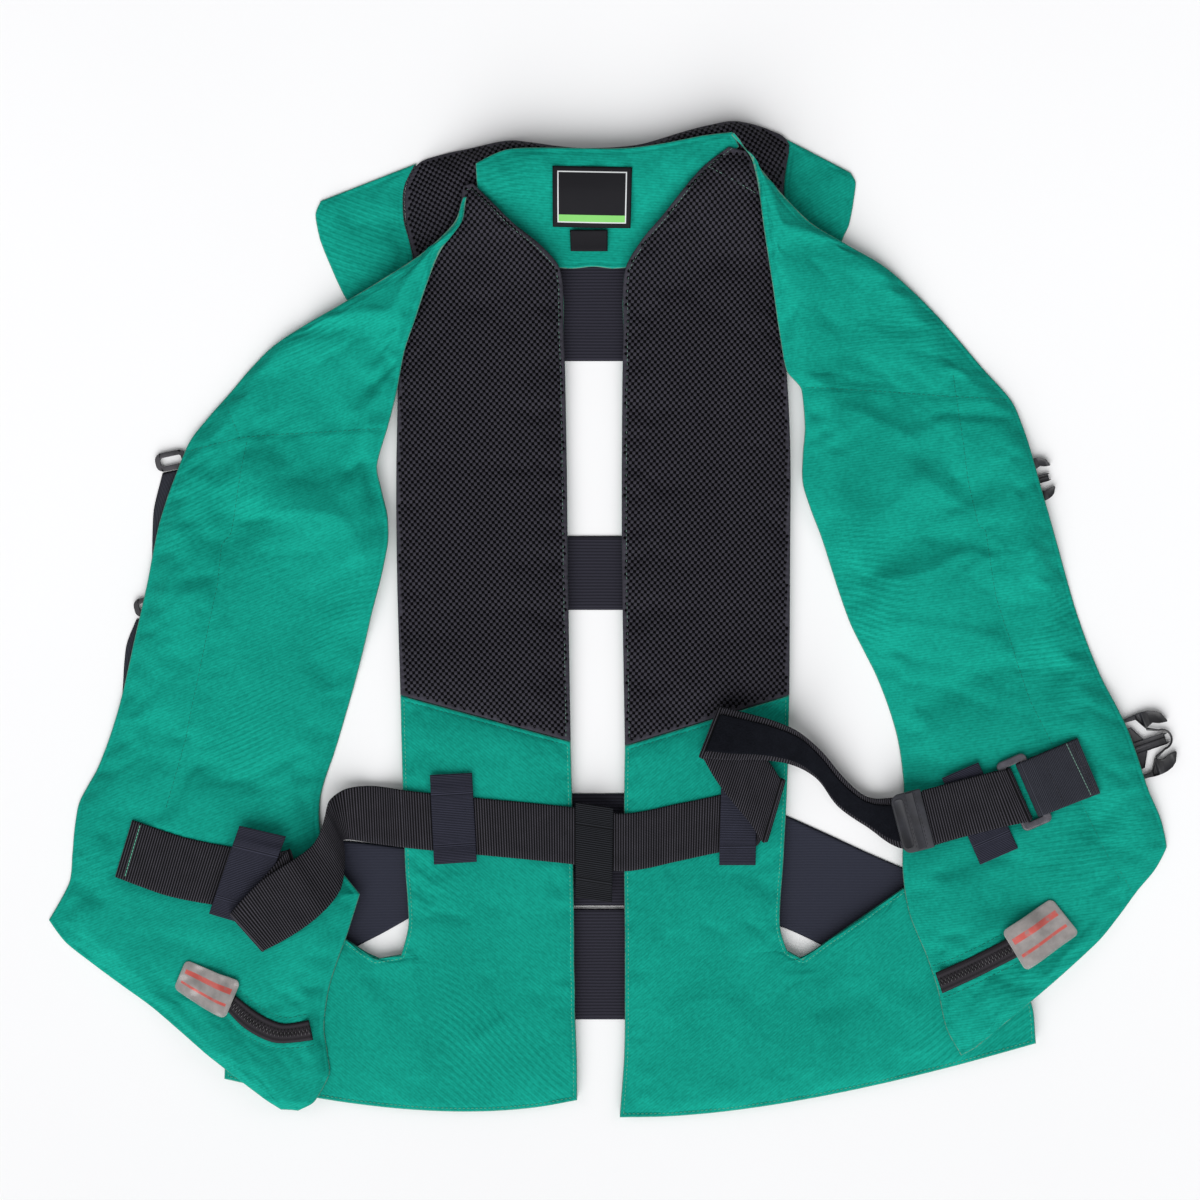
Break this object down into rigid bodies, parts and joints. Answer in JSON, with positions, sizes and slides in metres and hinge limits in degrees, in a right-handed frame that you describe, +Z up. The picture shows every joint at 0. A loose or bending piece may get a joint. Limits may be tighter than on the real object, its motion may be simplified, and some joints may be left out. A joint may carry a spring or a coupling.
{
  "type": "airbag vest",
  "caption": "Riding airbag vest in green nylon, unfastened and laid open on its back, with black mesh back pads, a padded collar, elastic spine bands and a webbing waist belt.",
  "frame": {"origin": "middle of the laid-out vest's box, on the surface that it lies on", "axes": "+Z up from the surface, +Y towards the neck, +X to the right as seen from above"},
  "size_m": [0.7936, 0.6996, 0.0389],
  "materials": {
    "green_cloth": "woven nylon with a fine rib, sewn edges",
    "spacer_mesh": "black spacer mesh with staggered holes",
    "elastic": "finely ribbed elastic",
    "webbing": "ribbed nylon webbing",
    "loop_tape": "grosgrain tape",
    "fleece": "soft loop pile",
    "rubber": "moulded, satin",
    "ring_plastic": "dark grey, glossy",
    "buckle_plastic": "black acetal, glossy",
    "zip": "woven tape with a nylon coil",
    "film": "creased clear film with red bars",
    "label": "woven label, plain"
  },
  "bodies": {
    "root": {"back_shell_left": "green_cloth", "back_shell_right": "green_cloth", "back_lining_left": "green_cloth", "back_lining_right": "green_cloth", "neck_yoke": "green_cloth", "shoulder_wing_left": "green_cloth", "shoulder_wing_right": "green_cloth", "front_panel_left": "green_cloth", "front_panel_right": "green_cloth", "back_mesh_left": "spacer_mesh", "back_mesh_right": "spacer_mesh", "collar_mesh": "spacer_mesh", "spine_band_top": "elastic", "spine_band_mid": "elastic", "spine_band_belt": "elastic", "spine_band_low": "elastic", "side_gusset_left": "elastic", "side_gusset_right": "elastic", "waist_belt": "webbing", "ring_anchor": "webbing", "buckle_strap_upper": "webbing", "buckle_strap_lower": "webbing", "edge_strap_upper": "webbing", "edge_strap_lower": "webbing", "belt_loop_front_left": "loop_tape", "belt_loop_back_left": "loop_tape", "belt_loop_back_right": "loop_tape", "belt_loop_front_right": "loop_tape", "belt_loop_spine": "loop_tape", "belt_fleece": "fleece", "belt_end_tab": "rubber", "belt_ring": "ring_plastic", "buckle_upper": "buckle_plastic", "buckle_lower": "buckle_plastic", "strap_slide_upper": "buckle_plastic", "strap_slide_lower": "buckle_plastic", "zipper_left": "zip", "zipper_right": "zip", "film_tag_left": "film", "film_tag_right": "film", "neck_label": "label", "size_label": "label"}
  },
  "joints": []
}
